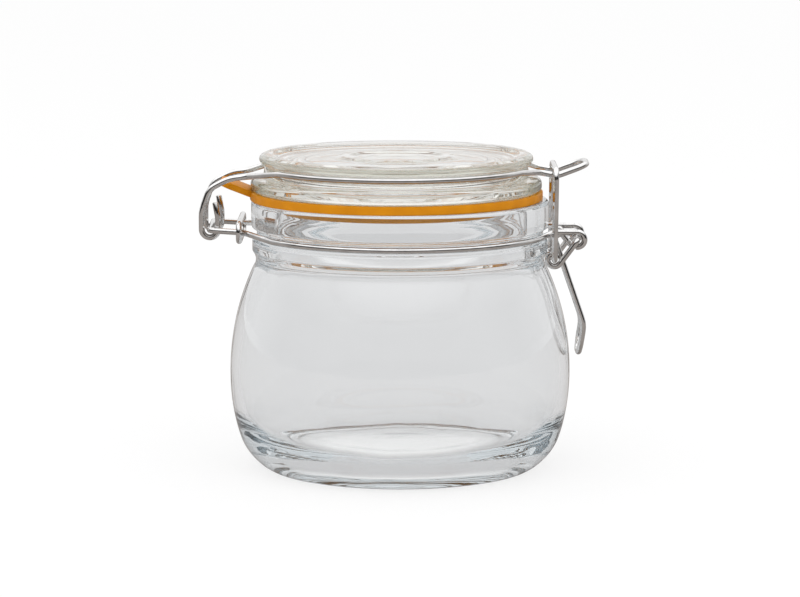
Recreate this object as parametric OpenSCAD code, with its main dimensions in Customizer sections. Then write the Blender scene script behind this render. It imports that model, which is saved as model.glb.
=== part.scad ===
// Clip-top storage jar of half a litre: a bellied glass jar, a glass lid on a rubber ring,
// and a wire closure with its hinge on the -X side and its clasp on the +X side.
// Millimetres. The jar's axis is Z and the jar stands on z = 0.

/* [Glass jar] */
// Radius of the belly at its widest
belly_r = 54.7; // [50:0.1:60]
// Height of the widest point of the belly
belly_z = 30; // [28:0.5:32]
// Thickness of the side wall
wall = 3.2; // [2.5:0.1:4]
// Thickness of the floor
floor_t = 5.5; // [4.5:0.1:7]
// Height of the rim on which the gasket lies
rim_z = 86.2; // [85:0.1:88]
// Outer radius of the neck band under the rim
neck_r = 47.7; // [47:0.1:48.5]
// Outer radius of the bead under the neck wire
bead_r = 47.4; // [46.8:0.1:47.6]
// Radius of the mouth
mouth_r = 40.5; // [39:0.1:41.5]

/* [Glass lid] */
// How far the lid sits towards the hinge
lid_shift = 1.2; // [0:0.1:1.5]
// Outer radius of the lower flange
flange_r = 46.6; // [45.5:0.1:47]
// Outer radius of the raised disc
disc_r = 43.8; // [43.6:0.1:44.4]
// Height of the whole jar, to the top of the lid's disc
total_z = 101; // [100.6:0.1:102]

/* [Gasket] */
// Outer radius of the rubber ring
gasket_r = 46.9; // [46:0.1:47.5]
// Thickness of the rubber ring
gasket_t = 2.8; // [2:0.1:3]
// Width of the pull tab
tab_w = 15; // [10:1:16]
// Length of the pull tab past the ring
tab_l = 10.5; // [8:0.5:12]
// Upward slope of the pull tab, degrees
tab_slope = 21; // [0:1:25]

/* [Wire] */
// Diameter of every wire
wire_d = 1.9; // [1.7:0.1:2]
// Radius of the neck wire's ring, at the centre of the wire
neck_ring_r = 47; // [46.9:0.1:47.2]
// Radius of the lid wire's ring, at the centre of the wire
lid_ring_r = 43.4; // [43.3:0.1:43.8]

/* [Closure] */
// Distance of the hinge pin from the jar's axis
hinge_x = 60.4; // [60:0.1:62]
// Height of the hinge pin
hinge_z = 77.6; // [77:0.1:78]
// Distance of the lever's fulcrum from the jar's axis
fulcrum_x = 56.4; // [56:0.1:57]
// Height of the lever's fulcrum
fulcrum_z = 74.1; // [73.8:0.1:74.4]
// Distance of the link's lower pivot from the jar's axis
pivot_x = 49.1; // [49:0.1:49.5]
// Height of the link's lower pivot
pivot_z = 68; // [67.5:0.1:68.2]
// Height of the link's upper bar, at the centre of the wire
link_top_z = 96.7; // [96.5:0.1:97.2]

/* [Hidden] */
$fn = 96;
wire_fn = 24;
bend_fn = 64;

// Heights and radii of the jar's neck
groove_r = 45.9;
bead_z = [69.6, 73.4];
groove_z = [74, 76.8];
band_z = 77.4;
rim_round = 1.4;
heel_r = 18;
heel_z = 16;
inner_heel_r = 17;
foot_w = 4;
push_up = 2.4;

// Belly: one arc under the widest point and a flatter one above it
lower_arc_r = 66;
upper_arc_r = 82;
shoulder_z = 66;

// Lid
seat_z = rim_z + gasket_t;
flange_z = [seat_z, seat_z + 4.2];
lid_groove_r = 42.3;
disc_z = 97.8;
boss_r = 40.2;
boss_depth = 1.6;
dome_z = seat_z + 6.2;
disc_ring_r = 15.5;

// Planes of the closure's wires, as distances from the middle plane, and where the wires
// leave their rings
hinge_strand_y = 13;
hook_y = 10;
clasp_strand_y = 8.9;
lever_y = 11.05;
handle_y = 6.75;
link_y = 13.25;
tongue_y = 8.8;
hinge_leave_x = -49.6;
clasp_leave_x = 48.9;
tie_z = 76.9;
tie_x = -51;
link_top_x = 49.4;

// Each part of a wire stops this far short of a joint, and a slightly thicker ball fills it
joint_gap = 0.12;
joint_extra = 0.08;

// Bends
pin_loop_r = 2.35;
eyelet_r = 2.2;
hook_r = 2.6;
tight_r = 1.8;

// ---------- Points, arcs and rounded wires ----------

function arc(c, r, a0, a1, n) = [
    for (i = [0:n]) let (a = a0 + (a1 - a0) * i / n) c + r * [cos(a), sin(a)]
];
function unit(v) = v / norm(v);
function turn(a, b, c) = acos(unit(b - a) * unit(c - b));
function trim(a, b, c, r) = r * tan(turn(a, b, c) / 2);
function at_y(points, y) = [for (p = points) [p.x, y, p.y]];

// Corners of a path whose rounded bends all lie on one circle
function round_corners(c, r, a0, a1, n) = let (half = (a1 - a0) / (2 * n)) [
    for (i = [0:n - 1]) let (a = a0 + half * (2 * i + 1)) c + r / cos(half) * [cos(a), sin(a)]
];

// Azimuth from the X axis at which a line through p touches a circle of radius r
function touch_angle(p, r) = atan(abs(p.y / p.x)) + acos(r / norm([p.x, p.y]));

// Turns what is built along Z to point along v
module along(v) {
    rotate([0, acos(v.z / norm(v)), atan2(v.y, v.x)]) children();
}

// Ball at p in a wire that runs along v, with its poles at right angles to the wire
module ball(p, v) {
    translate(p)
        along(v)
            rotate([90, 0, 0])
                sphere(d = wire_d + joint_extra, $fn = wire_fn);
}

// Straight round bar from a to b, with both ends cut back to leave room for a ball
module rod(a, b, cut_a, cut_b) {
    v = b - a;
    translate(a + unit(v) * cut_a)
        along(v)
            cylinder(d = wire_d, h = norm(v) - cut_a - cut_b, $fn = wire_fn);
}

// Part of a torus, between two azimuths, with both ends cut back in the same way
module curved_rod(r, a0, a1) {
    cut = joint_gap / r * 180 / PI;
    rotate([0, 0, a0 + cut])
        rotate_extrude(angle = a1 - a0 - 2 * cut, $fn = bend_fn)
            translate([r, 0])
                circle(d = wire_d, $fn = wire_fn);
}

// Turns a wire from direction a-b to direction b-c, with a ball at its start and its end
module bend(a, b, c, r, start_ball) {
    u = unit(b - a);
    w = unit(c - b);
    n = unit(w - u * (u * w));
    k = cross(-n, u);
    cut = trim(a, b, c, r);
    o = b - u * cut + n * r;
    multmatrix([
        [-n.x, u.x, k.x, o.x],
        [-n.y, u.y, k.y, o.y],
        [-n.z, u.z, k.z, o.z],
        [0, 0, 0, 1],
    ])
        curved_rod(r, 0, turn(a, b, c));
    if (start_ball) ball(b - u * cut, u);
    ball(b + w * cut, w);
}

// Wire along the corners in path. Corner i + 1 is rounded to radii[i]. ends holds how far
// the wire is cut back at its two ends: 0 at a free end, joint_gap where it runs on.
module wire(path, radii, ends) {
    last = len(path) - 1;
    cut = [
        for (i = [0:last])
            i == 0 || i == last ? 0 : trim(path[i - 1], path[i], path[i + 1], radii[i - 1])
    ];
    straight = [for (i = [0:last - 1]) norm(path[i + 1] - path[i]) - cut[i] - cut[i + 1]];
    for (i = [0:last - 1])
        if (straight[i] > 0.01)
            rod(
                path[i], path[i + 1],
                i == 0 ? ends[0] : cut[i] + joint_gap,
                i == last - 1 ? ends[1] : cut[i + 1] + joint_gap
            );
    for (i = [1:last - 1])
        bend(path[i - 1], path[i], path[i + 1], radii[i - 1], straight[i - 1] > 0.01);
}

// The path and its mirror image as one path, where the path ends on the middle plane
function mirrored(path) = let (last = len(path) - 1) concat(
    [for (i = [0:last - 1]) path[i]],
    [for (i = [last - 1:-1:0]) [path[i].x, -path[i].y, path[i].z]]
);
function back_and_forth(radii) = let (last = len(radii) - 1) concat(
    radii, [for (i = [last:-1:0]) radii[i]]
);

// Both halves of something that is symmetric about the middle plane
module both_sides() {
    children();
    mirror([0, 1, 0]) children();
}

// From the end of a ring at azimuth a, a short straight start and the corners that follow.
// side is -1 where the wire leaves towards -X and 1 where it leaves towards +X.
function leave_ring(r, z, a, side, corners) = let (
    start = [side * r * cos(a), -r * sin(a), z],
    along = [side * sin(a), cos(a), 0]
) concat([start, start + 5 * along], corners);

// ---------- Glass ----------

module jar_body() {
    low = [belly_r - lower_arc_r, belly_z];
    high = [belly_r - upper_arc_r, belly_z];
    heel_a = asin((belly_z - heel_z) / (lower_arc_r - heel_r));
    foot_a = asin(heel_z / heel_r);
    heel_c = low + (lower_arc_r - heel_r) * [cos(heel_a), -sin(heel_a)];
    high_a = asin((shoulder_z - belly_z) / upper_arc_r);
    inner_low_r = lower_arc_r - wall;
    inner_z = floor_t + inner_heel_r;
    inner_a = asin((belly_z - inner_z) / (inner_low_r - inner_heel_r));
    inner_c = low + (inner_low_r - inner_heel_r) * [cos(inner_a), -sin(inner_a)];
    inner_high_a = asin((shoulder_z - belly_z) / (upper_arc_r - wall));
    foot_r = heel_c.x + heel_r * cos(foot_a) - foot_w;
    outer = concat(
        [[0, push_up], [foot_r - 9, push_up * 0.8], [foot_r - 1.2, 0.5], [foot_r, 0]],
        arc(heel_c, heel_r, -foot_a, -heel_a, 6),
        arc(low, lower_arc_r, -heel_a + 3, 0, 7),
        arc(high, upper_arc_r, 4, high_a, 7),
        [
            [bead_r - 1.25, shoulder_z + 1.3], [bead_r - 0.9, bead_z[0] - 1],
            [bead_r - 0.25, bead_z[0]], [bead_r, bead_z[0] + 1], [bead_r, bead_z[1] - 0.8],
            [bead_r - 0.4, bead_z[1]], [groove_r, groove_z[0]], [groove_r, groove_z[1]],
            [neck_r - 0.5, band_z], [neck_r, band_z + 0.8],
        ],
        arc([neck_r - rim_round, rim_z - rim_round], rim_round, 0, 90, 5)
    );
    inner = concat(
        arc([mouth_r + 0.8, rim_z - 0.8], 0.8, 90, 180, 3),
        [[mouth_r, groove_z[0]], [mouth_r + 1, shoulder_z + 4.5]],
        arc(high, upper_arc_r - wall, inner_high_a, 0, 7),
        arc(low, inner_low_r, -3, -inner_a, 4),
        arc(inner_c, inner_heel_r, -inner_a - 9, -90, 8),
        [[0, floor_t + 0.6]]
    );
    color("lightblue", 0.4)
        rotate_extrude()
            polygon(concat(outer, inner));
}

module glass_lid() {
    flange_mid = (flange_z[0] + flange_z[1]) / 2;
    flange_half = (flange_z[1] - flange_z[0]) / 2;
    rim_half = (total_z - disc_z) / 2;
    profile = concat(
        [
            [0, dome_z], [26, dome_z - 0.6], [31.5, dome_z - 2.7], [35.4, seat_z - boss_depth],
            [boss_r - 0.6, seat_z - boss_depth], [boss_r, seat_z - boss_depth + 0.6],
            [boss_r, seat_z],
        ],
        arc([flange_r - flange_half, flange_mid], flange_half, -90, 90, 8),
        [[lid_groove_r, flange_z[1] + 0.5], [lid_groove_r - 0.3, disc_z - 1], [lid_groove_r, disc_z]],
        arc([disc_r - rim_half, total_z - rim_half], rim_half, -90, 90, 8),
        [
            [disc_r - 4, total_z - 0.5], [disc_r - 6.5, total_z - 1.3],
            [disc_ring_r + 4, total_z - 1.5], [disc_ring_r + 1.5, total_z - 0.9],
            [disc_ring_r, total_z - 0.8], [disc_ring_r - 2, total_z - 1.3], [0, total_z - 1.6],
        ]
    );
    color("lightblue", 0.5)
        translate([-lid_shift, 0, 0])
            rotate_extrude()
                polygon(profile);
}

// ---------- Rubber ----------

module gasket() {
    inner_r = 40.4;
    root_x = gasket_r - 2.6;
    tab_t = 2;
    tab_lift = 0.4;
    tab_corner = 4;
    color("orange")
        translate([-lid_shift, 0, rim_z]) {
            rotate_extrude()
                translate([inner_r, 0])
                    square([gasket_r - inner_r, gasket_t]);
            translate([-root_x, 0, tab_lift])
                rotate([0, tab_slope, 0])
                    mirror([1, 0, 0])
                        tab(tab_l + gasket_r - root_x, tab_t, tab_corner);
        }
}

// Flat tab along +X with two rounded corners at its far end
module tab(length, thickness, corner) {
    linear_extrude(thickness) {
        translate([0, -tab_w / 2])
            square([length - corner, tab_w]);
        translate([length - corner - 1, corner - tab_w / 2])
            square([corner + 1, tab_w - 2 * corner]);
        for (y = [-1, 1])
            translate([length - corner, y * (tab_w / 2 - corner)])
                circle(corner, $fn = 32);
    }
}

// ---------- Wires ----------

module neck_wire() {
    ring_z = 75.4;
    strand_z = fulcrum_z + pin_loop_r;
    hinge_corner = [hinge_leave_x, -hinge_strand_y, tie_z];
    clasp_corner = [clasp_leave_x, -clasp_strand_y, strand_z];
    hinge_a = touch_angle(hinge_corner, neck_ring_r);
    clasp_a = touch_angle(clasp_corner, neck_ring_r);
    loop_x = fulcrum_x + pin_loop_r;
    hinge_path = leave_ring(neck_ring_r, ring_z, hinge_a, -1, [
        hinge_corner,
        [-hinge_x, -hinge_strand_y, hinge_z],
        [-hinge_x, 0, hinge_z],
    ]);
    clasp_path = leave_ring(neck_ring_r, ring_z, clasp_a, 1, [
        clasp_corner,
        [loop_x, -clasp_strand_y, strand_z],
        [loop_x, -clasp_strand_y, fulcrum_z - pin_loop_r],
        [fulcrum_x - 0.5, -clasp_strand_y, fulcrum_z - pin_loop_r],
    ]);
    color("silver") {
        wire(mirrored(hinge_path), back_and_forth([30, 5, tight_r]), [joint_gap, joint_gap]);
        both_sides() {
            ball(hinge_path[0], hinge_path[1] - hinge_path[0]);
            translate([0, 0, ring_z])
                curved_rod(neck_ring_r, 180 + hinge_a, 360 - clasp_a);
            ball(clasp_path[0], clasp_path[1] - clasp_path[0]);
            wire(clasp_path, [30, 3, pin_loop_r, pin_loop_r], [joint_gap, 0]);
        }
    }
}

module tie_ring() {
    half_h = 2.75;
    end_y = 15.25;
    half = [
        [tie_x, 0, tie_z + half_h], [tie_x, -end_y, tie_z + half_h],
        [tie_x, -end_y, tie_z - half_h], [tie_x, 0, tie_z - half_h],
    ];
    color("gainsboro")
        both_sides() {
            wire(half, [half_h, half_h], [joint_gap, joint_gap]);
            ball(half[0], [0, 1, 0]);
            ball(half[3], [0, 1, 0]);
        }
}

module lid_wire() {
    ring_z = 96.5;
    arm_z = 94.3;
    brow = [-54.5, 93.6];
    crest = [-60.6, 90.4];
    back_z = 83.5;
    hook_z = 81.3;
    tip = [0.9, 86.2];
    tongue_x = 59.4;
    tongue_rise = 3.4;
    valley_z = link_top_z - wire_d - 0.25;
    hook_out_x = -hinge_x - hook_r;
    hook_in_x = -hinge_x + hook_r;
    shift = [lid_shift, 0, 0];
    arm_corner = [-49, -hook_y, arm_z] + shift;
    tongue_corner = [44.4, -tongue_y, 95.6] + shift;
    arm_a = touch_angle(arm_corner, lid_ring_r);
    tongue_a = touch_angle(tongue_corner, lid_ring_r);
    arm_path = leave_ring(lid_ring_r, ring_z, arm_a, -1, [
        arm_corner,
        [brow.x, -hook_y, brow.y] + shift,
        [crest.x, -hook_y, crest.y] + shift,
        [hook_out_x, -hook_y, back_z] + shift,
        [hook_out_x, -hook_y, hinge_z - hook_r] + shift,
        [hook_in_x, -hook_y, hinge_z - hook_r] + shift,
        [hook_in_x, -hook_y, hook_z] + shift,
        [hook_in_x - tip.x, -hook_y, tip.y] + shift,
    ]);
    tongue_path = leave_ring(lid_ring_r, ring_z, tongue_a, 1, [
        tongue_corner,
        [50, -tongue_y, valley_z] + shift,
        [tongue_x, -tongue_y + 0.8, valley_z + tongue_rise] + shift,
        [tongue_x, 0, valley_z + tongue_rise] + shift,
    ]);
    color("silver")
        translate(-shift) {
            wire(mirrored(tongue_path), back_and_forth([30, 2.5, 5, 5]), [joint_gap, joint_gap]);
            both_sides() {
                ball(arm_path[0], arm_path[1] - arm_path[0]);
                translate([0, 0, ring_z])
                    curved_rod(lid_ring_r, 180 + arm_a, 360 - tongue_a);
                ball(tongue_path[0], tongue_path[1] - tongue_path[0]);
                wire(arm_path, [30, 5, 12, 6, 12, hook_r, hook_r, 9], [joint_gap, 0]);
            }
        }
}

module lever() {
    pivot = [pivot_x, pivot_z];
    fulcrum = [fulcrum_x, fulcrum_z];
    arm = fulcrum - pivot;
    end_a = atan2(arm.y, arm.x) - acos(eyelet_r / norm(arm)) + 360;
    start_a = 115;
    free_end = pivot + eyelet_r * [cos(start_a), sin(start_a)];
    eyelet = concat([free_end], round_corners(pivot, eyelet_r, start_a, end_a, 3), [fulcrum]);
    crown = [[54.75, 71.75], [51.35, 76.05], [49.2, 74.55]];
    grip = [58.9, 46.5];
    grip_end = [57.4, 36.9];
    handle = concat([fulcrum], crown, [grip, grip_end]);
    path = concat(
        at_y(eyelet, -lever_y), at_y(handle, -handle_y), [[grip_end.x, 0, grip_end.y]]
    );
    radii = [eyelet_r, eyelet_r, eyelet_r, 1.2, 1.1, 1.05, 1.1, 1.2, 10, 5];
    color("silver")
        wire(mirrored(path), back_and_forth(radii), [0, 0]);
}

module locking_link() {
    half = [
        [pivot_x, 0, pivot_z], [pivot_x, -link_y, pivot_z],
        [link_top_x, -link_y, link_top_z], [link_top_x, 0, link_top_z],
    ];
    color("silver")
        both_sides() {
            wire(half, [1.1, 3], [joint_gap, joint_gap]);
            ball(half[0], [0, 1, 0]);
            ball(half[3], [0, 1, 0]);
        }
}

jar_body();
neck_wire();
tie_ring();
glass_lid();
gasket();
lid_wire();
lever();
locking_link();
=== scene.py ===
"""Clip-top glass jar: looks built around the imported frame. Metres, +Z up, +X towards the clasp."""
import math

import bmesh
import bpy
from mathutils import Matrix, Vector, noise


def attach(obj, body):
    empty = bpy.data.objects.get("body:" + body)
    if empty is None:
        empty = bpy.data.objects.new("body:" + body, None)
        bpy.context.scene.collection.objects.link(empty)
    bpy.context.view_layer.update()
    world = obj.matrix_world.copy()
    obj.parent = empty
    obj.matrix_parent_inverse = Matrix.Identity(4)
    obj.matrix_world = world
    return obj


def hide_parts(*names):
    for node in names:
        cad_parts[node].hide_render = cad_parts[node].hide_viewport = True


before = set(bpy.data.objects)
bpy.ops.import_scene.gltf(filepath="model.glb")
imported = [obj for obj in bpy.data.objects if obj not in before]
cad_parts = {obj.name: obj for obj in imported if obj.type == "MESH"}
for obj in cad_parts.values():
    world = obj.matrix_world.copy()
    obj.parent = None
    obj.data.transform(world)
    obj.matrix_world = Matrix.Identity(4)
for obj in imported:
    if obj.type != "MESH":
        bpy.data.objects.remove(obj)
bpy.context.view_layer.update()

MM = 0.001

# ---------- Driving dimensions, mm ----------

BELLY_R, BELLY_Z = 54.7, 30.0
LOWER_ARC_R, UPPER_ARC_R = 66.0, 82.0
WALL, FLOOR_T = 3.2, 5.5
HEEL_R, HEEL_Z, INNER_HEEL_R, PUSH_UP, FOOT_W = 18.0, 16.0, 17.0, 2.4, 4.0
SHOULDER_Z = 66.0
RIB_TOP, RIB_IN_R, RIB_DEPTH = 2.6, 42, 0.09
RIM_Z, NECK_R, BEAD_R, GROOVE_R, MOUTH_R = 86.2, 47.7, 47.4, 45.9, 40.5
GASKET_R, GASKET_IN_R, GASKET_T = 46.9, 40.4, 2.8
LIP_R, LIP_IN_R, LIP_DEPTH = 37.7, 36.4, 3.3
TAB_W, TAB_L, TAB_T, TAB_SLOPE = 15.0, 10.5, 2.0, math.radians(21)
TAB_ROOT, TAB_LIFT, TAB_CORNER = 2.6, 0.4, 4.0
LID_SHIFT, FLANGE_R, DISC_R, LID_GROOVE_R = 1.2, 46.6, 43.8, 42.3
TOTAL_Z, DISC_Z = 101.0, 97.8
SEAT_Z = RIM_Z + GASKET_T
FLANGE_TOP = SEAT_Z + 4.2
BOSS_R, BOSS_DEPTH, TOP_RING_R, DOME_Z = 40.2, 1.6, 15.5, SEAT_Z + 6.2
CONTACT = 0.03

WIRE_R = 0.95
NECK_RING_R, NECK_RING_Z = 47.0, 75.4
LID_RING_R, LID_RING_Z = 43.4, 96.5
HINGE_X, HINGE_Z = 60.4, 77.6
FULCRUM_X, FULCRUM_Z = 56.4, 74.1
PIVOT_X, PIVOT_Z = 49.1, 68.0
LINK_TOP_X, LINK_TOP_Z = 49.4, 96.7
HINGE_Y, HOOK_Y, CLASP_Y = 13.0, 10.0, 8.9
LEVER_Y, HANDLE_Y, LINK_Y, TONGUE_Y = 11.05, 6.75, 13.25, 8.8
TIE_X, TIE_Z, TIE_HALF_H, TIE_END_Y = -51.0, 76.9, 2.75, 15.25
LOOP_R, EYELET_R, HOOK_R = 2.35, 2.2, 2.6
LEAVE_R, TIGHT_R = 30, 1.8
HINGE_LEAVE_X, CLASP_LEAVE_X = -49.6, 48.9
# Lid wire, before its shift towards the hinge: corners (x, z) of an arm and of the tongue
ARM_START, BROW, CREST = (-49, 94.3), (-54.5, 93.6), (-60.6, 90.4)
BACK_Z, HOOK_TOP_Z, TIP_STEP, TIP_Z = 83.5, 81.3, 0.9, 86.2
TONGUE_START, VALLEY_X, TONGUE_END_X, TONGUE_RISE, TONGUE_TAPER = (44.4, 95.6), 50, 59.4, 3.4, 0.8
LINK_PLAY = 0.25
# Lever: corners (x, z) over the fulcrum, and the grip
CROWN = [(54.75, 71.75), (51.35, 76.05), (49.2, 74.55)]
GRIP, GRIP_END = (58.9, 46.5), (57.4, 36.9)
EYELET_START = math.radians(115)

GLASS_SEGMENTS = 192
WIRE_SIDES = 20
BEND_STEP = math.radians(8)


# ---------- Mesh helpers ----------

def make_object(name, bm, material, body, nodes):
    """Turns a bmesh in metres into a piece that rides on a body in place of CAD nodes."""
    bmesh.ops.recalc_face_normals(bm, faces=bm.faces)
    mesh = bpy.data.meshes.new(name)
    bm.to_mesh(mesh)
    bm.free()
    mesh.materials.append(material)
    mesh.polygons.foreach_set("use_smooth", [True] * len(mesh.polygons))
    piece = bpy.data.objects.new(name, mesh)
    bpy.context.scene.collection.objects.link(piece)
    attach(piece, body)
    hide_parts(*nodes)
    return piece


def arc(centre, radius, start, end, count):
    """Points on a circle, with angles in radians."""
    angles = [start + (end - start) * i / count for i in range(count + 1)]
    return [(centre[0] + radius * math.cos(a), centre[1] + radius * math.sin(a)) for a in angles]


def fillet(corners, step=math.radians(9)):
    """Rounds a 2D outline of corners (r, z, radius) into a list of points (r, z)."""
    out = []
    for i, (x, y, radius) in enumerate(corners):
        here = Vector((x, y))
        if radius == 0 or i in (0, len(corners) - 1):
            out.append((x, y))
            continue
        before = (Vector(corners[i - 1][:2]) - here).normalized()
        after = (Vector(corners[i + 1][:2]) - here).normalized()
        half = before.angle(after) / 2
        cut = radius / math.tan(half)
        centre = here + (before + after).normalized() * radius / math.sin(half)
        first = here + before * cut - centre
        last = here + after * cut - centre
        total = first.angle(last)
        count = max(2, math.ceil(total / step))
        for k in range(count + 1):
            t = k / count
            mixed = first * math.sin((1 - t) * total) + last * math.sin(t * total)
            out.append(tuple(centre + mixed / math.sin(total)))
    return out


def refine(profile, longest):
    """Splits long stretches of a profile so that a surface wave can show on them."""
    out = [profile[0]]
    for a, b in zip(profile, profile[1:]):
        count = max(1, math.ceil(math.dist(a, b) / longest))
        out += [(a[0] + (b[0] - a[0]) * k / count, a[1] + (b[1] - a[1]) * k / count)
                for k in range(1, count + 1)]
    return out


def lathe(profile, segments, centre_x, wave):
    """Closed solid of revolution from a profile that starts and ends on the axis."""
    bm = bmesh.new()
    rings = []
    for r, z in profile:
        if r < 1e-6:
            rings.append([bm.verts.new((centre_x * MM, 0, z * MM))])
            continue
        ring = []
        for k in range(segments):
            a = 2 * math.pi * k / segments
            dr, dz = wave(r, z, a)
            ring.append(bm.verts.new(((centre_x + (r + dr) * math.cos(a)) * MM,
                                      (r + dr) * math.sin(a) * MM, (z + dz) * MM)))
        rings.append(ring)
    for low, high in zip(rings, rings[1:]):
        for k in range(segments):
            n = (k + 1) % segments
            if len(low) == 1:
                bm.faces.new((low[0], high[k], high[n]))
            elif len(high) == 1:
                bm.faces.new((low[k], high[0], low[n]))
            else:
                bm.faces.new((low[k], high[k], high[n], low[n]))
    return bm


# ---------- Wire paths ----------

def rounded(corners, radii):
    """Points along a 3D path whose corner i + 1 is rounded to radii[i]."""
    points = [Vector(corners[0])]
    for i, radius in enumerate(radii, start=1):
        here = Vector(corners[i])
        u = (here - Vector(corners[i - 1])).normalized()
        w = (Vector(corners[i + 1]) - here).normalized()
        turn = u.angle(w)
        inward = (w - u * u.dot(w)).normalized()
        start = here - u * radius * math.tan(turn / 2)
        centre = start + inward * radius
        count = max(2, math.ceil(turn / BEND_STEP))
        for k in range(count + 1):
            a = turn * k / count
            points.append(centre - inward * radius * math.cos(a) + u * radius * math.sin(a))
    points.append(Vector(corners[-1]))
    return points


def mirrored(points):
    """A path that ends on the middle plane, followed by its mirror image."""
    return points + [Vector((p.x, -p.y, p.z)) for p in reversed(points[:-1])]


def touch_angle(x, y, radius):
    """Azimuth from the X axis at which a line through x, y touches a ring."""
    return math.atan(abs(y / x)) + math.acos(radius / math.hypot(x, y))


def leave_ring(radius, z, angle, side):
    """Point where a wire leaves its ring at a tangent, and a point 5 mm along."""
    start = Vector((side * radius * math.cos(angle), -radius * math.sin(angle), z))
    return [start, start + 5 * Vector((side * math.sin(angle), math.cos(angle), 0))]


def ring_points(radius, z, start, end):
    """Points along the near half of a ring, between two azimuths."""
    count = 60
    angles = [start + (end - start) * k / count for k in range(1, count)]
    return [Vector((radius * math.cos(a), radius * math.sin(a), z)) for a in angles]


def circle_corners(cx, cz, radius, start, end, count):
    """Corners in the XZ plane whose rounded bends lie on one circle."""
    half = (end - start) / (2 * count)
    reach = radius / math.cos(half)
    angles = [start + half * (2 * i + 1) for i in range(count)]
    return [(cx + reach * math.cos(a), cz + reach * math.sin(a)) for a in angles]


def clean(points):
    """Drops points that fall on the one before."""
    out = [points[0]]
    for p in points[1:]:
        if (p - out[-1]).length > 0.01:
            out.append(p)
    return out


def tube(points, radius, closed):
    """Sweeps a circle along points in mm. An open tube gets cut ends with a fine chamfer."""
    points = clean(points)
    if closed and (points[0] - points[-1]).length < 0.01:
        points.pop()
    count = len(points)
    tangents = []
    for i in range(count):
        a = points[(i - 1) % count] if closed or i > 0 else points[i]
        b = points[(i + 1) % count] if closed or i < count - 1 else points[i]
        tangents.append((b - a).normalized())
    normal = tangents[0].orthogonal().normalized()
    bm = bmesh.new()
    rings = []

    def ring_at(centre, tangent, r):
        side = tangent.cross(normal)
        ring = []
        for k in range(WIRE_SIDES):
            a = 2 * math.pi * k / WIRE_SIDES
            ring.append(bm.verts.new((centre + (normal * math.cos(a) + side * math.sin(a)) * r) * MM))
        return ring

    chamfer = 0.15
    for i, (p, t) in enumerate(zip(points, tangents)):
        normal = (normal - t * normal.dot(t)).normalized()
        if not closed and i == 0:
            rings.append(ring_at(p, t, radius - chamfer))
            rings.append(ring_at(p + t * chamfer, t, radius))
        elif not closed and i == count - 1:
            rings.append(ring_at(p - t * chamfer, t, radius))
            rings.append(ring_at(p, t, radius - chamfer))
        else:
            rings.append(ring_at(p, t, radius))
    pairs = list(zip(rings, rings[1:]))
    for low, high in pairs:
        for k in range(WIRE_SIDES):
            n = (k + 1) % WIRE_SIDES
            bm.faces.new((low[k], low[n], high[n], high[k]))
    if closed:
        offset = min(range(WIRE_SIDES), key=lambda s: (rings[-1][0].co - rings[0][s].co).length)
        for k in range(WIRE_SIDES):
            a, b = (k + offset) % WIRE_SIDES, (k + 1 + offset) % WIRE_SIDES
            bm.faces.new((rings[-1][k], rings[-1][(k + 1) % WIRE_SIDES], rings[0][b], rings[0][a]))
    else:
        bm.faces.new(rings[0][::-1])
        bm.faces.new(rings[-1])
    return bm


def neck_wire_points():
    strand_z = FULCRUM_Z + LOOP_R
    hinge_corner = (HINGE_LEAVE_X, -HINGE_Y, TIE_Z)
    clasp_corner = (CLASP_LEAVE_X, -CLASP_Y, strand_z)
    hinge_a = touch_angle(hinge_corner[0], hinge_corner[1], NECK_RING_R)
    clasp_a = touch_angle(clasp_corner[0], clasp_corner[1], NECK_RING_R)
    loop_x, low_z = FULCRUM_X + LOOP_R, FULCRUM_Z - LOOP_R
    hinge = rounded(leave_ring(NECK_RING_R, NECK_RING_Z, hinge_a, -1) + [
        hinge_corner, (-HINGE_X, -HINGE_Y, HINGE_Z), (-HINGE_X, 0, HINGE_Z)], [LEAVE_R, 5, TIGHT_R])
    clasp = rounded(leave_ring(NECK_RING_R, NECK_RING_Z, clasp_a, 1) + [
        clasp_corner, (loop_x, -CLASP_Y, strand_z), (loop_x, -CLASP_Y, low_z),
        (FULCRUM_X - 0.5, -CLASP_Y, low_z)], [LEAVE_R, 3, LOOP_R, LOOP_R])
    ring = ring_points(NECK_RING_R, NECK_RING_Z, 2 * math.pi - clasp_a, math.pi + hinge_a)
    return mirrored(clasp[::-1] + ring + hinge)


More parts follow.
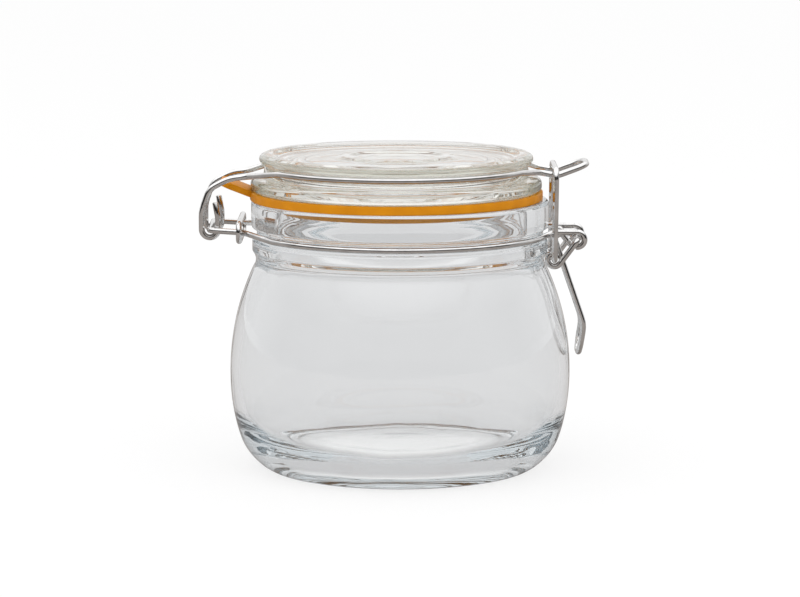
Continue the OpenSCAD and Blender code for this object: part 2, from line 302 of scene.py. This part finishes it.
def lid_wire_points():
    valley_z = LINK_TOP_Z - 2 * WIRE_R - LINK_PLAY
    rise_z = valley_z + TONGUE_RISE
    out_x, in_x, low_z = -HINGE_X - HOOK_R, -HINGE_X + HOOK_R, HINGE_Z - HOOK_R
    shift = Vector((LID_SHIFT, 0, 0))
    arm = [Vector(p) + shift for p in [
        *((x, -HOOK_Y, z) for x, z in (ARM_START, BROW, CREST)),
        (out_x, -HOOK_Y, BACK_Z), (out_x, -HOOK_Y, low_z), (in_x, -HOOK_Y, low_z),
        (in_x, -HOOK_Y, HOOK_TOP_Z), (in_x - TIP_STEP, -HOOK_Y, TIP_Z)]]
    tongue = [Vector(p) + shift for p in [
        (TONGUE_START[0], -TONGUE_Y, TONGUE_START[1]), (VALLEY_X, -TONGUE_Y, valley_z),
        (TONGUE_END_X, -TONGUE_Y + TONGUE_TAPER, rise_z), (TONGUE_END_X, 0, rise_z)]]
    arm_a = touch_angle(arm[0].x, arm[0].y, LID_RING_R)
    tongue_a = touch_angle(tongue[0].x, tongue[0].y, LID_RING_R)
    arm = rounded(leave_ring(LID_RING_R, LID_RING_Z, arm_a, -1) + arm,
                  [LEAVE_R, 5, 12, 6, 12, HOOK_R, HOOK_R, 9])
    tongue = rounded(leave_ring(LID_RING_R, LID_RING_Z, tongue_a, 1) + tongue,
                     [LEAVE_R, 2.5, 5, 5])
    ring = ring_points(LID_RING_R, LID_RING_Z, math.pi + arm_a, 2 * math.pi - tongue_a)
    return [p - shift for p in mirrored(arm[::-1] + ring + tongue)]


def lever_points():
    reach = Vector((FULCRUM_X - PIVOT_X, FULCRUM_Z - PIVOT_Z))
    start = EYELET_START
    end = math.atan2(reach.y, reach.x) - math.acos(EYELET_R / reach.length) + 2 * math.pi
    free_end = (PIVOT_X + EYELET_R * math.cos(start), PIVOT_Z + EYELET_R * math.sin(start))
    eyelet = [free_end] + circle_corners(PIVOT_X, PIVOT_Z, EYELET_R, start, end, 3)
    eyelet.append((FULCRUM_X, FULCRUM_Z))
    handle = [(FULCRUM_X, FULCRUM_Z), *CROWN, GRIP, GRIP_END]
    corners = [(x, -LEVER_Y, z) for x, z in eyelet] + [(x, -HANDLE_Y, z) for x, z in handle]
    corners.append((GRIP_END[0], 0, GRIP_END[1]))
    radii = [EYELET_R] * 3 + [1.2, 1.1, 1.05, 1.1, 1.2, 10, 5]
    return mirrored(rounded(corners, radii))


def tie_ring_points():
    top, low = TIE_Z + TIE_HALF_H, TIE_Z - TIE_HALF_H
    return mirrored(rounded([(TIE_X, 0, top), (TIE_X, -TIE_END_Y, top), (TIE_X, -TIE_END_Y, low),
                             (TIE_X, 0, low)], [TIE_HALF_H, TIE_HALF_H]))


def link_points():
    return mirrored(rounded([(PIVOT_X, 0, PIVOT_Z), (PIVOT_X, -LINK_Y, PIVOT_Z),
                             (LINK_TOP_X, -LINK_Y, LINK_TOP_Z), (LINK_TOP_X, 0, LINK_TOP_Z)],
                            [1.1, 3]))


# ---------- Materials ----------

def new_material(name):
    material = bpy.data.materials.new(name)
    material.use_nodes = True
    tree = material.node_tree
    return material, tree, tree.nodes["Principled BSDF"]


def add(tree, kind, **values):
    node = tree.nodes.new(kind)
    for key, value in values.items():
        setattr(node, key, value)
    return node


def noise_node(tree, scale, detail):
    """Noise in object coordinates, in cells per metre."""
    coords = add(tree, "ShaderNodeTexCoord")
    texture = add(tree, "ShaderNodeTexNoise")
    texture.inputs["Scale"].default_value = scale
    texture.inputs["Detail"].default_value = detail
    tree.links.new(coords.outputs["Object"], texture.inputs["Vector"])
    return texture.outputs["Fac"]


def map_range(tree, value, low, high, from_low=0.3, from_high=0.7):
    """Maps a value to low..high. Noise lies mostly between the default limits."""
    node = add(tree, "ShaderNodeMapRange")
    node.inputs["From Min"].default_value = from_low
    node.inputs["From Max"].default_value = from_high
    node.inputs["To Min"].default_value = low
    node.inputs["To Max"].default_value = high
    tree.links.new(value, node.inputs["Value"])
    return node.outputs["Result"]


def bump(tree, shader, height, distance, strength):
    node = add(tree, "ShaderNodeBump")
    node.inputs["Distance"].default_value = distance
    node.inputs["Strength"].default_value = strength
    tree.links.new(height, node.inputs["Height"])
    tree.links.new(node.outputs["Normal"], shader.inputs["Normal"])


def blend_colours(tree, factor, first, second):
    """Mixes two plain colours."""
    node = add(tree, "ShaderNodeMix", data_type="RGBA")
    tree.links.new(factor, node.inputs["Factor"])
    node.inputs[6].default_value = (*first, 1)
    node.inputs[7].default_value = (*second, 1)
    return node.outputs[2]


def glass_material(name, tint, absorb, density, wave_scale, wave_depth):
    """Clear pressed glass: a faint tint at each surface, more in its depth, and fine ripples."""
    material, tree, shader = new_material(name)
    shader.inputs["Transmission Weight"].default_value = 1
    shader.inputs["Roughness"].default_value = 0.0
    shader.inputs["IOR"].default_value = 1.5
    cloud = noise_node(tree, 40, 2)
    tone = map_range(tree, cloud, 0, 1)
    darker = tuple(c * 0.985 for c in tint)
    tree.links.new(blend_colours(tree, tone, tint, darker), shader.inputs["Base Color"])
    bump(tree, shader, noise_node(tree, wave_scale, 2), wave_depth, 1)
    volume = add(tree, "ShaderNodeVolumeAbsorption")
    volume.inputs["Color"].default_value = (*absorb, 1)
    volume.inputs["Density"].default_value = density
    tree.links.new(volume.outputs["Volume"], tree.nodes["Material Output"].inputs["Volume"])
    return material


def wire_material():
    """Bright plated wire, drawn lengthways, with faint clouding."""
    material, tree, shader = new_material("bright_wire")
    shader.inputs["Metallic"].default_value = 1
    cloud = noise_node(tree, 220, 4)
    colour = blend_colours(tree, map_range(tree, cloud, 0, 1), (0.72, 0.715, 0.71), (0.56, 0.555, 0.55))
    tree.links.new(colour, shader.inputs["Base Color"])
    tree.links.new(map_range(tree, noise_node(tree, 900, 3), 0.07, 0.17), shader.inputs["Roughness"])
    bump(tree, shader, noise_node(tree, 1400, 3), 0.00004, 0.5)
    return material


def rubber_material(name, light, dark):
    """Orange natural rubber with a fine matt grain."""
    material, tree, shader = new_material(name)
    cloud = noise_node(tree, 160, 4)
    colour = blend_colours(tree, map_range(tree, cloud, 0, 1), light, dark)
    tree.links.new(colour, shader.inputs["Base Color"])
    tree.links.new(map_range(tree, noise_node(tree, 500, 2), 0.38, 0.55), shader.inputs["Roughness"])
    shader.inputs["Specular IOR Level"].default_value = 0.12
    bump(tree, shader, noise_node(tree, 2500, 3), 0.00006, 0.6)
    return material


# ---------- Glass pieces ----------

def ripple(r, z, a, scale, seed):
    return noise.noise(Vector((r * math.cos(a) / scale, r * math.sin(a) / scale, z / scale + seed)))


def jar_profile():
    """Outer outline from the axis up to the rim, then the inner one back to the axis."""
    rad = math.radians
    low, high = (BELLY_R - LOWER_ARC_R, BELLY_Z), (BELLY_R - UPPER_ARC_R, BELLY_Z)
    heel_a = math.asin((BELLY_Z - HEEL_Z) / (LOWER_ARC_R - HEEL_R))
    foot_a = math.asin(HEEL_Z / HEEL_R)
    heel = (low[0] + (LOWER_ARC_R - HEEL_R) * math.cos(heel_a), HEEL_Z)
    high_a = math.asin((SHOULDER_Z - BELLY_Z) / UPPER_ARC_R)
    inner_low_r = LOWER_ARC_R - WALL
    inner_z = FLOOR_T + INNER_HEEL_R
    inner_a = math.asin((BELLY_Z - inner_z) / (inner_low_r - INNER_HEEL_R))
    inner_c = (low[0] + (inner_low_r - INNER_HEEL_R) * math.cos(inner_a), inner_z)
    inner_high_a = math.asin((SHOULDER_Z - BELLY_Z) / (UPPER_ARC_R - WALL))
    foot_out = heel[0] + HEEL_R * math.cos(foot_a)
    foot_r = foot_out - FOOT_W
    foot = fillet([(0, PUSH_UP, 0), (foot_r - 9, PUSH_UP * 0.8, 14), (foot_r - 1.2, 0.4, 1.2),
                   (foot_r, 0, 1.0), (foot_out - 0.6, 0, 0)])
    shoulder = arc(high, UPPER_ARC_R, rad(0.7), high_a, 26)
    neck = fillet([
        (*shoulder[-1], 0), (BEAD_R - 1.15, SHOULDER_Z + 1.6, 2.2), (BEAD_R - 0.7, 69.0, 0.9),
        (BEAD_R, 70.1, 1.0), (BEAD_R, 73.3, 0.8), (GROOVE_R + 0.1, 73.9, 0.6),
        (GROOVE_R, 76.9, 0.7), (NECK_R - 0.1, 77.6, 0.8), (NECK_R, 82.5, 3),
        (NECK_R - 0.05, RIM_Z, 1.25), (MOUTH_R + 0.5, RIM_Z, 0)])
    outer = (foot + arc(heel, HEEL_R, -foot_a + rad(1.5), -heel_a, 14)
             + arc(low, LOWER_ARC_R, -heel_a + rad(0.8), 0, 24) + shoulder[:-1] + neck)
    bore = fillet([(MOUTH_R + 0.5, RIM_Z, 0), (MOUTH_R, RIM_Z - 1.2, 0.5), (MOUTH_R, 77, 25),
                   (inner_high_xy(high, inner_high_a)[0] - 1.0, SHOULDER_Z + 4.5, 12),
                   (*inner_high_xy(high, inner_high_a), 0)])
    inner = (bore[1:-1] + arc(high, UPPER_ARC_R - WALL, inner_high_a, 0, 26)
             + arc(low, inner_low_r, rad(-1), -inner_a, 16)
             + arc(inner_c, INNER_HEEL_R, -inner_a - rad(4), rad(-86), 20)
             + [(inner_c[0] - 1.5, FLOOR_T + 0.05), (inner_c[0] - 3.5, FLOOR_T + 0.35),
                (inner_c[0] - 7, FLOOR_T + 0.75), (14, FLOOR_T + 1.0), (0, FLOOR_T + 1.0)])
    return outer, inner


def inner_high_xy(centre, angle):
    reach = UPPER_ARC_R - WALL
    return centre[0] + reach * math.cos(angle), centre[1] + reach * math.sin(angle)


def build_jar(material):
    outer, inner = jar_profile()
    outer, inner = refine(outer, 2.2), refine(inner, 2.2)
    inside = set(inner)
    ribs = GLASS_SEGMENTS // 2

    def wave(r, z, a):
        if (r, z) in inside:
            calm = 0.08 if z > SHOULDER_Z or r < 20 else 1
            return calm * 0.2 * ripple(r, z, a, 19, 5), 0.12 * ripple(r, z, a, 14, 9) * (z < 12)
        seam = 0.1 * math.exp(-(math.sin(a) * r / 0.5) ** 2)
        if z < RIB_TOP and r > RIB_IN_R:
            return RIB_DEPTH * math.cos(ribs * a) * math.sin(math.pi * (z + 0.1) / (RIB_TOP + 0.1)), 0
        return 0.05 * ripple(r, z, a, 12, 1) + seam * (SHOULDER_Z > z > 4), 0

    bm = lathe(outer + inner, GLASS_SEGMENTS, 0, wave)
    return make_object("jar_glass", bm, material, "jar", ["jar_body"])


def build_lid(material):
    under = fillet([
        (0, DOME_Z, 0), (26, SEAT_Z + 5.6, 30), (31.5, SEAT_Z + 3.5, 9),
        (35.4, SEAT_Z - BOSS_DEPTH, 2.4),
        (BOSS_R, SEAT_Z - BOSS_DEPTH, 0.7), (BOSS_R + 0.05, SEAT_Z, 0.2),
        (FLANGE_R - 1.6, SEAT_Z, 0)])
    edge = fillet([
        (FLANGE_R - 1.6, SEAT_Z, 0), (FLANGE_R, SEAT_Z + 0.1, 1.5), (FLANGE_R, FLANGE_TOP - 0.2, 1.9),
        (LID_GROOVE_R + 0.3, FLANGE_TOP + 0.3, 0.9), (LID_GROOVE_R - 0.3, DISC_Z - 0.1, 0.7),
        (DISC_R - 0.6, DISC_Z, 0.5), (DISC_R, DISC_Z + 1.2, 1.0), (DISC_R - 0.1, TOTAL_Z - 0.9, 1.0),
        (DISC_R - 1.7, TOTAL_Z, 1.2), (DISC_R - 4.2, TOTAL_Z - 0.2, 2.0),
        (DISC_R - 6.4, TOTAL_Z - 1.3, 2.4), (TOP_RING_R + 4.5, TOTAL_Z - 1.5, 6),
        (TOP_RING_R + 1.6, TOTAL_Z - 0.8, 1.2), (TOP_RING_R - 0.4, TOTAL_Z - 0.8, 1.2),
        (TOP_RING_R - 2.6, TOTAL_Z - 1.4, 2), (0, TOTAL_Z - 1.6, 0)])
    profile = refine(under + edge[1:], 1.6)
    lowest = SEAT_Z + 0.02

    def wave(r, z, a):
        if r < 1 or z < lowest or z > TOTAL_Z - 0.6:
            return 0, 0
        amount = 0.03 if r > 41 else 0.008
        return amount * ripple(r, z, a, 6.5, 3), amount * ripple(r, z, a, 8, 7)

    bm = lathe(profile, GLASS_SEGMENTS, -LID_SHIFT, wave)
    return make_object("lid_glass", bm, material, "lid", ["glass_lid"])


# ---------- Rubber ring ----------

def build_gasket(material, painted_light_material):
    """A ring with soft edges, a lip inside the mouth and a tab on its hinge side.

    The faces that are seen only through glass get a lighter copy of the rubber: painted light that
    stands in for the lamp light the glass keeps from them.
    """
    low, high = RIM_Z + CONTACT, SEAT_Z - CONTACT
    soft = 0.35
    section = fillet([
        (LIP_IN_R, low, 0), (LIP_IN_R, RIM_Z - LIP_DEPTH, 0.4), (LIP_R, RIM_Z - LIP_DEPTH, 0.4),
        (LIP_R, low, 0.2), (GASKET_R, low, soft), (GASKET_R, high, soft), (GASKET_IN_R, high, 0.3),
        (GASKET_IN_R, low + 0.8, 0.2), (LIP_IN_R, low + 0.8, 0.3), (LIP_IN_R, low, 0)])[:-1]
    bm = bmesh.new()
    rings = []
    for k in range(GLASS_SEGMENTS):
        a = 2 * math.pi * k / GLASS_SEGMENTS
        swell = 0.12 * ripple(GASKET_R, 0, a, 14, 2)
        ring = []
        for r, z in section:
            reach = r + (swell if r > GASKET_R - 1 else 0)
            ring.append(bm.verts.new(((reach * math.cos(a) - LID_SHIFT) * MM, reach * math.sin(a) * MM,
                                      z * MM)))
        rings.append(ring)
    size = len(section)
    for k in range(GLASS_SEGMENTS):
        here, there = rings[k], rings[(k + 1) % GLASS_SEGMENTS]
        for i in range(size):
            n = (i + 1) % size
            face = bm.faces.new((here[i], here[n], there[n], there[i]))
            # Lip and top faces take the lighter copy: painted light, as lamp light does not reach them
            # through the glass.
            is_lip = max(section[i][0], section[n][0]) < LIP_R + 0.3
            is_top = min(section[i][1], section[n][1]) > high - 0.01
            face.material_index = int(is_lip or is_top)
    add_tab(bm)
    piece = make_object("rubber_ring", bm, material, "lid", ["gasket"])
    piece.data.materials.append(painted_light_material)
    return piece


def add_tab(bm):
    """Sloping tab as a stack of outlines: a rounded rectangle with softened edges."""
    root = GASKET_R - TAB_ROOT
    length = TAB_L + TAB_ROOT
    corner, soft = TAB_CORNER, 0.3
    half = TAB_W / 2

    def outline(inset):
        c = corner - inset
        x1, y1 = length - inset, half - inset
        points = [(0.0, -y1), ((length - corner) * 0.5, -y1)]
        points += arc((x1 - c, -y1 + c), c, -math.pi / 2, 0, 6)
        points += arc((x1 - c, y1 - c), c, 0, math.pi / 2, 6)
        return points + [((length - corner) * 0.5, y1), (0.0, y1)]

    def place(x, y, h):
        along = x * math.cos(TAB_SLOPE) - h * math.sin(TAB_SLOPE)
        up = x * math.sin(TAB_SLOPE) + h * math.cos(TAB_SLOPE)
        return Vector((-root - along - LID_SHIFT, y, RIM_Z + TAB_LIFT + up)) * MM

    levels = [(soft, 0.0), (0.08, 0.09), (0.0, soft), (0.0, TAB_T - soft), (0.08, TAB_T - 0.09),
              (soft, TAB_T)]
    rings = [[bm.verts.new(place(x, y, h)) for x, y in outline(inset)] for inset, h in levels]
    count = len(rings[0])
    for low, high in zip(rings, rings[1:]):
        for i in range(count):
            n = (i + 1) % count
            bm.faces.new((low[i], low[n], high[n], high[i]))
    bm.faces.new(rings[0][::-1])
    bm.faces.new(rings[-1])


# ---------- Studio ----------

# Colours as the camera sees them, as glass lets them through, and as the wires mirror them
BACKDROP = (0.97, 0.97, 0.97)
HORIZON_THROUGH, OVERHEAD_THROUGH = (0.68, 0.68, 0.685), (1.05, 1.05, 1.05)
FRONT_MIRRORED, BACK_MIRRORED = (0.03, 0.028, 0.027), (0.95, 0.95, 0.95)
OVERHEAD_MIRRORED = (1.7, 1.7, 1.71)
# The floor is painted far darker in mirrored rays than as the camera sees it: a painted dark reflection
# on the wires' undersides.
FLOOR_SEEN, FLOOR_MIRRORED = (0.97, 0.97, 0.97), (0.36, 0.33, 0.31)
FLOOR_LIT, FLOOR_GLOW = (0.985, 0.985, 0.985), 0.8
FLOOR_THROUGH, PANEL_THROUGH = (0.72, 0.72, 0.725), (1.15, 1.15, 1.14)
PANEL_R = (0.024, 0.036)  # metres: where the bright panel under the jar fades out


def mix_colours(tree, factor, first, second):
    """Mixes two linked colours."""
    node = add(tree, "ShaderNodeMix", data_type="RGBA")
    tree.links.new(factor, node.inputs["Factor"])
    tree.links.new(first, node.inputs[6])
    tree.links.new(second, node.inputs[7])
    return node.outputs[2]


def mirrored_ray(tree, paths):
    """1 for a ray that a glossy surface has mirrored, and 0 for one that glass has let through."""
    node = add(tree, "ShaderNodeMath", operation="MULTIPLY")
    tree.links.new(paths.outputs["Is Glossy Ray"], node.inputs[0])
    tree.links.new(paths.outputs["Is Reflection Ray"], node.inputs[1])
    return node.outputs[0]


def plain_colour(tree, colour):
    node = add(tree, "ShaderNodeRGB")
    node.outputs[0].default_value = (*colour, 1)
    return node.outputs[0]


def build_floor():
    """Pale matt floor, lit from below like a light table where glass stands on it."""
    bm = bmesh.new()
    bmesh.ops.create_circle(bm, cap_ends=True, segments=64, radius=14)
    mesh = bpy.data.meshes.new("floor")
    bm.to_mesh(mesh)
    bm.free()
    material, tree, shader = new_material("pale_floor")
    paths = add(tree, "ShaderNodeLightPath")
    # Mirrored rays see a darker floor: painted dark reflection on the wires and glass.
    colour = blend_colours(tree, mirrored_ray(tree, paths), FLOOR_SEEN, FLOOR_MIRRORED)
    tree.links.new(colour, shader.inputs["Base Color"])
    shader.inputs["Roughness"].default_value = 0.9
    shader.inputs["Specular IOR Level"].default_value = 0.1
    glow = add(tree, "ShaderNodeEmission")
    coords = add(tree, "ShaderNodeTexCoord")
    reach = add(tree, "ShaderNodeVectorMath", operation="LENGTH")
    tree.links.new(coords.outputs["Object"], reach.inputs[0])
    panel = map_range(tree, reach.outputs["Value"], 1, 0, *PANEL_R)
    through = blend_colours(tree, panel, FLOOR_THROUGH, PANEL_THROUGH)
    seen = mix_colours(tree, paths.outputs["Is Camera Ray"], through, plain_colour(tree, FLOOR_LIT))
    tree.links.new(seen, glow.inputs["Color"])
    share = add(tree, "ShaderNodeMath", operation="MULTIPLY")
    share.inputs[1].default_value = FLOOR_GLOW
    either = add(tree, "ShaderNodeMath", operation="MAXIMUM")
    tree.links.new(paths.outputs["Is Transmission Ray"], either.inputs[0])
    tree.links.new(paths.outputs["Is Camera Ray"], either.inputs[1])
    tree.links.new(either.outputs[0], share.inputs[0])
    mixed = add(tree, "ShaderNodeMixShader")
    tree.links.new(share.outputs[0], mixed.inputs[0])
    tree.links.new(shader.outputs[0], mixed.inputs[1])
    tree.links.new(glow.outputs[0], mixed.inputs[2])
    tree.links.new(mixed.outputs[0], tree.nodes["Material Output"].inputs["Surface"])
    mesh.materials.append(material)
    floor = bpy.data.objects.new("floor", mesh)
    floor.location.z = -0.0002
    bpy.context.scene.collection.objects.link(floor)


def build_world():
    """Soft studio: bright overhead, grey towards the horizon, and a dark room in what wire mirrors."""
    world = bpy.data.worlds.new("studio")
    bpy.context.scene.world = world
    world.use_nodes = True
    tree = world.node_tree
    coords = add(tree, "ShaderNodeTexCoord")
    split = add(tree, "ShaderNodeSeparateXYZ")
    tree.links.new(coords.outputs["Generated"], split.inputs[0])
    soft = map_range(tree, split.outputs["Z"], 0, 1, 0.05, 0.6)
    hard = map_range(tree, split.outputs["Z"], 0, 1, 0.35, 0.7)
    through = blend_colours(tree, soft, HORIZON_THROUGH, OVERHEAD_THROUGH)
    back = map_range(tree, split.outputs["Y"], 0, 1, 0.0, 0.5)
    walls = blend_colours(tree, back, FRONT_MIRRORED, BACK_MIRRORED)
    mirrored_light = mix_colours(tree, hard, walls, plain_colour(tree, OVERHEAD_MIRRORED))
    paths = add(tree, "ShaderNodeLightPath")
    light = mix_colours(tree, mirrored_ray(tree, paths), through, mirrored_light)
    seen = mix_colours(tree, paths.outputs["Is Camera Ray"], light, plain_colour(tree, BACKDROP))
    tree.links.new(seen, tree.nodes["Background"].inputs["Color"])


def build_lamp(name, place, target, width, height, watts):
    data = bpy.data.lights.new(name, "AREA")
    data.shape = "RECTANGLE"
    data.size, data.size_y, data.energy = width, height, watts
    lamp = bpy.data.objects.new(name, data)
    lamp.location = place
    lamp.visible_glossy = False
    lamp.visible_transmission = False
    lamp.rotation_euler = (Vector(target) - Vector(place)).to_track_quat("-Z", "Y").to_euler()
    bpy.context.scene.collection.objects.link(lamp)


def build_camera():
    data = bpy.data.cameras.new("camera")
    data.lens = 142.65
    data.sensor_width = 36
    camera = bpy.data.objects.new("camera", data)
    camera.location = (0, -1.010, 0.203)
    camera.rotation_euler = (math.radians(90 - 8.40), 0, 0)
    bpy.context.scene.collection.objects.link(camera)
    bpy.context.scene.camera = camera


# ---------- Build ----------

jar_material = glass_material("jar_glass", (0.965, 0.968, 0.97), (0.66, 0.74, 0.78), 7, 60, 0.00006)
lid_material = glass_material("lid_glass", (0.975, 0.972, 0.958), (0.68, 0.69, 0.56), 8, 90, 0.000015)
wire = wire_material()
rubber = rubber_material("orange_rubber", (0.6, 0.225, 0.0015), (0.52, 0.185, 0.001))
# A lighter copy of the orange rubber: painted light for the faces seen only through glass.
rubber_painted_light = rubber_material("orange_rubber_painted_light", (0.9, 0.38, 0.008), (0.81, 0.33, 0.006))

build_jar(jar_material)
build_lid(lid_material)
build_gasket(rubber, rubber_painted_light)
for piece_name, points, closed, piece_body, node in [
    ("neck_wire_bent", neck_wire_points(), False, "jar", "neck_wire"),
    ("tie_ring_bent", tie_ring_points(), True, "jar", "tie_ring"),
    ("lid_wire_bent", lid_wire_points(), False, "lid", "lid_wire"),
    ("lever_bent", lever_points(), False, "lever", "lever"),
    ("link_bent", link_points(), True, "link", "locking_link"),
]:
    make_object(piece_name, tube(points, WIRE_R, closed), wire, piece_body, [node])

build_floor()
build_world()
build_lamp("key", (-0.5, -0.4, 1.3), (0, 0, 0.05), 1.6, 1.6, 5)
build_lamp("fill", (0.8, -0.9, 0.8), (0, 0, 0.05), 1.2, 1.2, 3)
build_camera()

scene = bpy.context.scene
scene.view_settings.view_transform = "Standard"
scene.cycles.max_bounces = 64
scene.cycles.transmission_bounces = 64
scene.cycles.glossy_bounces = 64
scene.cycles.use_denoising = True
